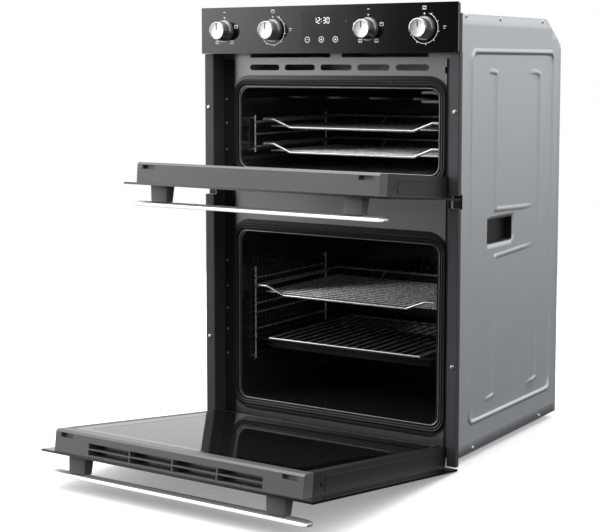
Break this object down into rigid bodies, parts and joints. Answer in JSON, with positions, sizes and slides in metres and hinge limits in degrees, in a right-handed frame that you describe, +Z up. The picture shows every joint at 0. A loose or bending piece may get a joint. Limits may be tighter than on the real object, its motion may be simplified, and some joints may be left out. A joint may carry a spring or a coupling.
{
  "type": "wall oven",
  "caption": "Built-in double wall oven: steel case, grill cavity over a larger fan cavity, drop-down glass doors with bar handles, control panel with dials and a display.",
  "frame": {"origin": "on the underside of the case, midway across, and midway between the case's front flange and its back", "axes": "+Z up, -Y to the front (the side of the doors and the control panel), +X to the right as seen from the front"},
  "size_m": [0.594, 1.0217, 0.8914],
  "materials": {
    "galvanised_steel": "galvanised sheet",
    "black_moulding": "matt",
    "screw_steel": "zinc plated",
    "front_plate_steel": "satin",
    "trim_grey": "satin",
    "hinge_steel": "zinc plated",
    "black_enamel": "gloss vitreous enamel",
    "seal_rubber": "matt",
    "mineral_wool": "fibrous",
    "element_sheath": "heat darkened",
    "fan_aluminium": "satin",
    "motor_steel": "satin",
    "lamp_glass": "clear",
    "probe_steel": "satin",
    "rack_chrome": "bright plated",
    "terminal_plastic": "matt",
    "panel_black_glass": "gloss black",
    "pilot_amber": "gloss",
    "carrier_plastic": "matt",
    "display_plastic": "gloss",
    "bezel_chrome": "dark plated",
    "switch_plastic": "matt",
    "knob_steel": "satin with a bright rim",
    "door_black_glass": "gloss black",
    "door_frame_grey": "satin",
    "door_trim_grey": "satin",
    "door_inner_glass": "reflective",
    "handle_chrome": "bright edges, brushed face",
    "post_grey": "satin"
  },
  "bodies": {
    "case": {"back_panel": "galvanised_steel", "base_pan": "galvanised_steel", "blower_housing": "galvanised_steel", "carry_recesses": "black_moulding", "case_screws": "screw_steel", "control_switches": "switch_plastic", "dial_bezels": "bezel_chrome", "display_module": "display_plastic", "fan_cover": "black_enamel", "fan_motor": "motor_steel", "front_plate": "front_plate_steel", "grill_element": "element_sheath", "hinge_catches": "hinge_steel", "insulation_blankets": "mineral_wool", "lamp_lenses": "lamp_glass", "lower_base_element": "element_sheath", "lower_liner": "black_enamel", "lower_seal": "seal_rubber", "lower_side_racks": "rack_chrome", "panel_carrier": "carrier_plastic", "panel_glass": "panel_black_glass", "pilot_lens": "pilot_amber", "ring_element": "element_sheath", "side_liners": "black_enamel", "side_panel_left": "galvanised_steel", "side_panel_right": "galvanised_steel", "side_trim_left": "trim_grey", "side_trim_right": "trim_grey", "temperature_probes": "probe_steel", "terminal_box": "terminal_plastic", "top_cover": "galvanised_steel", "upper_base_element": "element_sheath", "upper_liner": "black_enamel", "upper_seal": "seal_rubber", "upper_side_racks": "rack_chrome"},
    "upper_door": {"upper_door_glass": "door_black_glass", "upper_door_frame": "door_frame_grey", "upper_door_top_trim": "door_trim_grey", "upper_door_inner_glass": "door_inner_glass", "upper_door_hinges": "hinge_steel", "upper_handle_bar": "handle_chrome", "upper_handle_posts": "post_grey"},
    "lower_door": {"lower_door_glass": "door_black_glass", "lower_door_frame": "door_frame_grey", "lower_door_top_trim": "door_trim_grey", "lower_door_inner_glass": "door_inner_glass", "lower_door_hinges": "hinge_steel", "lower_handle_bar": "handle_chrome", "lower_handle_posts": "post_grey"},
    "grill_selector": {"grill_selector_knob": "knob_steel"},
    "grill_thermostat": {"grill_thermostat_knob": "knob_steel"},
    "oven_selector": {"oven_selector_knob": "knob_steel"},
    "oven_thermostat": {"oven_thermostat_knob": "knob_steel"},
    "fan": {"fan_rotor": "fan_aluminium"},
    "blower": {"blower_rotor": "fan_aluminium"},
    "high_shelf": {"grill_shelf": "rack_chrome"},
    "low_shelf": {"upper_shelf": "rack_chrome"},
    "main_shelf": {"lower_shelf": "rack_chrome"},
    "tray": {"roasting_tray": "black_enamel", "tray_grid": "rack_chrome"}
  },
  "joints": [
    {"name": "upper_door_hinge", "type": "hinge", "parent": "case", "child": "upper_door", "pos_m": [0, -0.2625, 0.5185], "axis": [1, 0, 0], "range_deg": [-85, 0]},
    {"name": "lower_door_hinge", "type": "hinge", "parent": "case", "child": "lower_door", "pos_m": [0, -0.2625, -0.0015], "axis": [1, 0, 0], "range_deg": [-82.4, 0]},
    {"name": "high_shelf_slide", "type": "slide", "parent": "case", "child": "high_shelf", "axis": [0, -1, 0], "range_m": [0, 0.22]},
    {"name": "low_shelf_slide", "type": "slide", "parent": "case", "child": "low_shelf", "axis": [0, -1, 0], "range_m": [0, 0.22]},
    {"name": "main_shelf_slide", "type": "slide", "parent": "case", "child": "main_shelf", "axis": [0, -1, 0], "range_m": [0, 0.3]},
    {"name": "tray_slide", "type": "slide", "parent": "case", "child": "tray", "axis": [0, -1, 0], "range_m": [0, 0.3]},
    {"name": "grill_selector_turn", "type": "hinge", "parent": "case", "child": "grill_selector", "pos_m": [-0.2385, -0.2725, 0.831], "axis": [0, 1, 0], "continuous": true},
    {"name": "grill_thermostat_turn", "type": "hinge", "parent": "case", "child": "grill_thermostat", "pos_m": [-0.1185, -0.2725, 0.831], "axis": [0, 1, 0], "range_deg": [0, 250]},
    {"name": "oven_selector_turn", "type": "hinge", "parent": "case", "child": "oven_selector", "pos_m": [0.104, -0.2725, 0.831], "axis": [0, 1, 0], "continuous": true},
    {"name": "oven_thermostat_turn", "type": "hinge", "parent": "case", "child": "oven_thermostat", "pos_m": [0.226, -0.2725, 0.831], "axis": [0, 1, 0], "range_deg": [0, 250]},
    {"name": "fan_spin", "type": "hinge", "parent": "case", "child": "fan", "pos_m": [0, 0.19, 0.2385], "axis": [0, 1, 0], "continuous": true},
    {"name": "blower_spin", "type": "hinge", "parent": "case", "child": "blower", "pos_m": [0, -0.1458, 0.79665], "axis": [1, 0, 0], "continuous": true}
  ]
}
